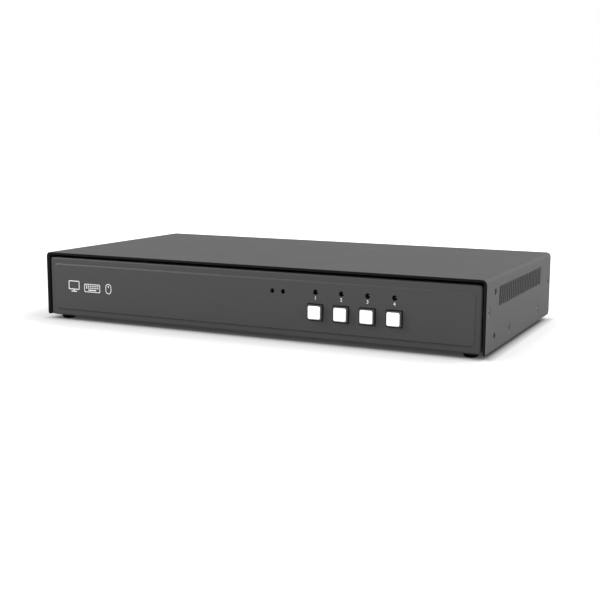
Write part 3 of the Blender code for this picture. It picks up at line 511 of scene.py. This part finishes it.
def middle(node):
    """Centre of a CAD node's box."""
    low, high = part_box(node)
    return (low + high) / 2


def screen_mark(x):
    """Outlines of a screen on its stand."""
    screen_y = 0.9 * MM
    return [
        rounded(x, screen_y, 9.0 * MM, 6.0 * MM, 0.7 * MM),
        rounded(x, screen_y, 7.9 * MM, 4.9 * MM, 0.3 * MM),
        rounded(x, -3.3 * MM, 4.6 * MM, 0.6 * MM, 0.2 * MM),
        rounded(x, -2.55 * MM, 1.0 * MM, 0.7 * MM, 0.1 * MM),
    ]


def keyboard_mark(x):
    """Outlines of a keyboard: its edge, two rows of keys and the space bar."""
    case_y = -0.4 * MM
    keys = 7
    key_pitch = 1.55 * MM
    outlines = [
        rounded(x, case_y, 13.0 * MM, 5.6 * MM, 0.8 * MM),
        rounded(x, case_y, 12.1 * MM, 4.7 * MM, 0.5 * MM),
    ]
    for row_y in (0.95 * MM, -0.35 * MM):
        for key in range(keys):
            key_x = x + (key - (keys - 1) / 2) * key_pitch
            outlines.append(rounded(key_x, row_y, 0.9 * MM, 0.75 * MM, 0.15 * MM))
    outlines.append(rounded(x, -1.75 * MM, 6.4 * MM, 0.7 * MM, 0.2 * MM))
    return outlines


def mouse_mark(x):
    """Outlines of a mouse with its wheel."""
    return [
        rounded(x, 0, 4.6 * MM, 6.8 * MM, 2.25 * MM),
        rounded(x, 0, 3.7 * MM, 5.9 * MM, 1.8 * MM),
        rounded(x, 1.5 * MM, 0.6 * MM, 1.5 * MM, 0.28 * MM),
    ]


def badge(material):
    """Three plain pictograms, a screen, a keyboard and a mouse, at the left of the front panel."""
    place = Vector((-118.3 * MM, FIELD_FACE, 23.6 * MM))
    outlines = screen_mark(-13.0 * MM) + keyboard_mark(2.0 * MM) + mouse_mark(15.3 * MM)
    printed("printed_pictograms", outlines, place, False, material)


def front_digits(material):
    """The port numbers between the lights and the buttons."""
    height = 2.2 * MM
    under_light = 3.5 * MM
    for number in range(1, 5):
        light = middle(f"port_led_{number}")
        cap = middle(f"button_cap_{number}")
        place = Vector((cap.x, FIELD_FACE, light.z - under_light))
        numeral(f"printed_digit_{number}", str(number), height, place, False, material)


def rear_print(material):
    """Numbered frames round each computer's connectors, and a frame round the console's."""
    margin = 2.6 * MM
    line = 0.35 * MM
    corner = 2 * MM
    digit_height = 4.5 * MM
    digit_along = 9 * MM
    digit_down = 6 * MM
    groups = {}
    for number in range(1, 5):
        members = (f"video_input_{number}", f"usb_b_socket_{number}", f"audio_input_{number}")
        groups[str(number)] = members
    groups["console"] = ("console_video_output", "console_usb_a_stack", "console_audio_output")
    for word, members in groups.items():
        boxes = [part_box(node) for node in members]
        low_x = min(low.x for low, _ in boxes) - margin * 0.6
        high_x = max(high.x for _, high in boxes) + margin * 0.6
        low_z = min(low.z for low, _ in boxes) - margin
        high_z = max(high.z for _, high in boxes) + margin * 2
        width = high_x - low_x
        height = high_z - low_z
        place = Vector(((low_x + high_x) / 2, REAR_FACE, (low_z + high_z) / 2))
        outlines = [rounded(0, 0, width, height, corner)]
        outlines.append(rounded(0, 0, width - 2 * line, height - 2 * line, corner - line))
        printed(f"rear_frame_{word}", outlines, place, True, material)
        if word.isdigit():
            spot = Vector((boxes[1][0].x + digit_along, REAR_FACE, high_z - digit_down))
            numeral(f"rear_digit_{word}", word, digit_height, spot, True, material)


def add_lip(shape, x, z, width, height, face):
    """Add a folded metal lip round an opening: four thin rounded bars on the shell's face."""
    bar = 0.45 * MM
    gap = 0.1 * MM
    edge = 0.14 * MM
    inner = face - 0.1 * MM
    outer = face + 0.35 * MM
    for side in (-1, 1):
        bar_x = x + side * (width / 2 + gap + bar / 2)
        add_bar(shape, bar_x, z, bar, height + 2 * bar, inner, outer, edge)
        bar_z = z + side * (height / 2 + gap + bar / 2)
        add_bar(shape, x, bar_z, width + 2 * bar, bar, inner, outer, edge)


def video_insides(tongue, gold, steel):
    """Tongue, contacts and folded lip in each opening of the stacked video sockets."""
    contact_count = 10
    contact_pitch = 1.0 * MM
    contact_rise = 0.58 * MM
    tongue_rise = 0.35 * MM
    for node in named("video_input", "console_video"):
        low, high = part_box(node)
        x = (low.x + high.x) / 2
        face = high.y
        tongues = bmesh.new()
        contacts = bmesh.new()
        lips = bmesh.new()
        for level in VIDEO_LEVELS:
            z = low.z + level + tongue_rise
            ends = (face - 12 * MM, face - 2.6 * MM)
            add_bar(tongues, x, z, 10.8 * MM, 1.1 * MM, *ends, 0.2 * MM)
            ends = (face - 11.5 * MM, face - 3.2 * MM)
            for number in range(contact_count):
                contact_x = x + (number - (contact_count - 1) / 2) * contact_pitch
                for contact_z in (z - contact_rise, z + contact_rise):
                    add_bar(contacts, contact_x, contact_z, 0.44 * MM, 0.12 * MM, *ends, 0.04 * MM)
            add_lip(lips, x, low.z + level, 14.4 * MM, 4.9 * MM, face)
        piece_from(f"{node}_tongues", tongues, tongue)
        piece_from(f"{node}_contacts", contacts, gold)
        piece_from(f"{node}_lips", lips, steel)


def usb_a_insides(tongue, gold, steel):
    """Tongue, contacts and folded lip in each opening of the USB-A stack."""
    contact_count = 4
    contact_pitch = 2.3 * MM
    tongue_rise = 1.15 * MM
    contact_rise = 0.175 * MM
    low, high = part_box("console_usb_a_stack")
    x = (low.x + high.x) / 2
    face = high.y
    tongues = bmesh.new()
    contacts = bmesh.new()
    lips = bmesh.new()
    for level in USB_LEVELS:
        z = low.z + level
        ends = (face - 13 * MM, face - 2 * MM)
        add_bar(tongues, x, z + tongue_rise, 11.2 * MM, 1.9 * MM, *ends, 0.25 * MM)
        ends = (face - 12 * MM, face - 3 * MM)
        for number in range(contact_count):
            contact_x = x + (number - (contact_count - 1) / 2) * contact_pitch
            add_bar(contacts, contact_x, z + contact_rise, 1.0 * MM, 0.25 * MM, *ends, 0.06 * MM)
        add_lip(lips, x, z, 12.9 * MM, 5.4 * MM, face)
    piece_from("console_usb_tongues", tongues, tongue)
    piece_from("console_usb_contacts", contacts, gold)
    piece_from("console_usb_lips", lips, steel)


def usb_b_insides(tongue, gold):
    """Tongue with two contacts above and two below in each USB-B socket."""
    contact_along = 1.25 * MM
    contact_rise = 1.6 * MM
    for node in named("usb_b_socket"):
        centre = middle(node)
        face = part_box(node)[1].y
        block = bmesh.new()
        ends = (face - 10 * MM, face - 1.6 * MM)
        add_bar(block, centre.x, centre.z, 5.6 * MM, 3.1 * MM, *ends, 0.25 * MM)
        piece_from(f"{node}_tongue", block, tongue)
        pins = bmesh.new()
        ends = (face - 9 * MM, face - 2.6 * MM)
        for pin_z in (centre.z - contact_rise, centre.z + contact_rise):
            for pin_x in (centre.x - contact_along, centre.x + contact_along):
                add_bar(pins, pin_x, pin_z, 1.0 * MM, 0.24 * MM, *ends, 0.05 * MM)
        piece_from(f"{node}_contacts", pins, gold)


def jack_insides(steel):
    """Metal ring in the mouth of each audio jack, and the power jack's centre pin."""
    for node in named("audio_input", "console_audio"):
        low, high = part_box(node)
        centre = Vector(((low.x + high.x) / 2, high.y, low.z + AUDIO_LEVEL))
        ring = bmesh.new()
        points = [(1.75, -2.0), (1.75, 0.05), (1.9, 0.2), (2.5, 0.2), (2.6, 0.05), (2.6, -0.2)]
        add_turned(ring, [(radius * MM, along * MM) for radius, along in points], centre)
        piece = piece_from(f"{node}_ring", ring, steel, round_angle=40)
        wall = piece.modifiers.new("wall", "SOLIDIFY")
        wall.thickness = 0.08 * MM
        wall.offset = -1.0
    low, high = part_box("power_jack")
    centre = Vector(((low.x + high.x) / 2, high.y, low.z + POWER_LEVEL))
    pin = bmesh.new()
    points = [(0, -0.9), (0.5, -1.0), (0.9, -1.3), (1.0, -1.7), (1.0, -10.5), (0, -10.5)]
    add_turned(pin, [(radius * MM, along * MM) for radius, along in points], centre)
    piece_from("power_jack_pin", pin, steel, round_angle=40)


# ---------------------------------------------------------------- studio

def area_light(name, place, target, size, power):
    """A square soft box that faces a point."""
    data = bpy.data.lights.new(name, "AREA")
    data.shape = "SQUARE"
    data.size = size
    data.energy = power
    lamp = bpy.data.objects.new(name, data)
    lamp.location = place
    lamp.rotation_euler = (Vector(target) - Vector(place)).to_track_quat("-Z", "Y").to_euler()
    bpy.context.scene.collection.objects.link(lamp)
    return lamp


def spare(lamp, thing):
    """Keep a lamp's light off one object."""
    spared = bpy.data.collections.new(f"not_lit_by_{lamp.name}")
    spared.objects.link(thing)
    spared.collection_objects[0].light_linking.link_state = "EXCLUDE"
    lamp.light_linking.receiver_collection = spared


def studio():
    """White floor and surroundings, and soft lights on every side of the case."""
    world = bpy.data.worlds.new("studio")
    world.use_nodes = True
    background = world.node_tree.nodes["Background"]
    background.inputs["Color"].default_value = grey(1.0)
    background.inputs["Strength"].default_value = 1.0
    bpy.context.scene.world = world
    shape = bmesh.new()
    bmesh.ops.create_grid(shape, x_segments=4, y_segments=4, size=60.0)
    mesh = bpy.data.meshes.new("floor")
    shape.to_mesh(mesh)
    shape.free()
    mesh.materials.append(floor_white())
    floor = bpy.data.objects.new("floor", mesh)
    bpy.context.scene.collection.objects.link(floor)
    target = (0, 0, 0.02)
    area_light("left_light", (-1.9, -0.8, 0.9), target, 0.8, 27.0)
    area_light("back_light", (0.9, 1.6, 0.9), target, 0.8, 17.0)
    area_light("top_light", (0.6, 0.2, 0.9), target, 0.5, 3.0)
    area_light("right_light", (1.6, -0.3, 0.35), target, 0.8, 16.0)
    high_left = area_light("high_left_light", (-1.4, -0.9, 1.7), target, 0.4, 28.0)
    spare(high_left, floor)
    bpy.context.scene.view_settings.view_transform = "Standard"


def camera():
    """The camera, low in front of the right-hand part of the case and turned towards it."""
    place = (0.3089, -0.6325, 0.1235)
    yaw = math.radians(26.016)
    pitch = math.radians(8.945)
    roll = math.radians(0.2)
    data = bpy.data.cameras.new("camera")
    data.lens = 61.91
    data.sensor_width = 36.0
    view = bpy.data.objects.new("camera", data)
    turn = Matrix.Rotation(yaw, 4, "Z") @ Matrix.Rotation(math.pi / 2 - pitch, 4, "X")
    view.matrix_world = Matrix.Translation(place) @ turn @ Matrix.Rotation(roll, 4, "Z")
    bpy.context.scene.collection.objects.link(view)
    bpy.context.scene.camera = view


camera()
studio()

steel = plated_steel("plated_steel", grey(0.55))
gold = plated_steel("gold_contacts", (0.75, 0.55, 0.2, 1.0), 0.2)
black_plastic = moulded("black_plastic", grey(0.02), 0.45)
white_ink = ink("white_ink", grey(0.6))

dress(["top_cover"], cover_paint(), 0.35 * MM, 3)
mark_cover(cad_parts["top_cover"])
dress(["front_panel"], panel_paint(), 0.12 * MM, angle=31)
dress(["base_tray", "rear_panel"], black_coat(), 0.15 * MM)
dress(named("cover_screw"), plated_steel("dark_plating", grey(0.045), 0.35), 0.08 * MM)
dress(named("board_screw", "front_board_screw"), steel, 0.08 * MM)
dress(named("foot"), rubber())
dress(named("button_cap"), moulded("white_cap", grey(0.8), 0.35, 1500.0, 0.002, 0.2, 0.01))
dress(named("button_body"), moulded("button_plastic", grey(0.03), 0.4), 0.1 * MM)
dress(named("push_switch"), black_plastic, 0.15 * MM)
dress(named("port_led", "status_led"), light_lens())
dress(["main_board"], circuit_board("main_board_mask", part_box("main_board")[0].z + 1.7 * MM))
dress(["front_board"], circuit_board("front_board_mask", None))
dress(["heat_sink"], anodised(), 0.1 * MM)
dress(["ribbon_cable"], ribbon())
dress(named("video_input", "console_video", "console_usb", "usb_b"), steel, 0.15 * MM)
dress(named("audio_input", "console_audio", "power_jack"), black_plastic, 0.2 * MM)

badge(white_ink)
front_digits(white_ink)
rear_print(white_ink)
video_insides(black_plastic, gold, steel)
usb_a_insides(black_plastic, gold, steel)
usb_b_insides(black_plastic, gold)
jack_insides(steel)
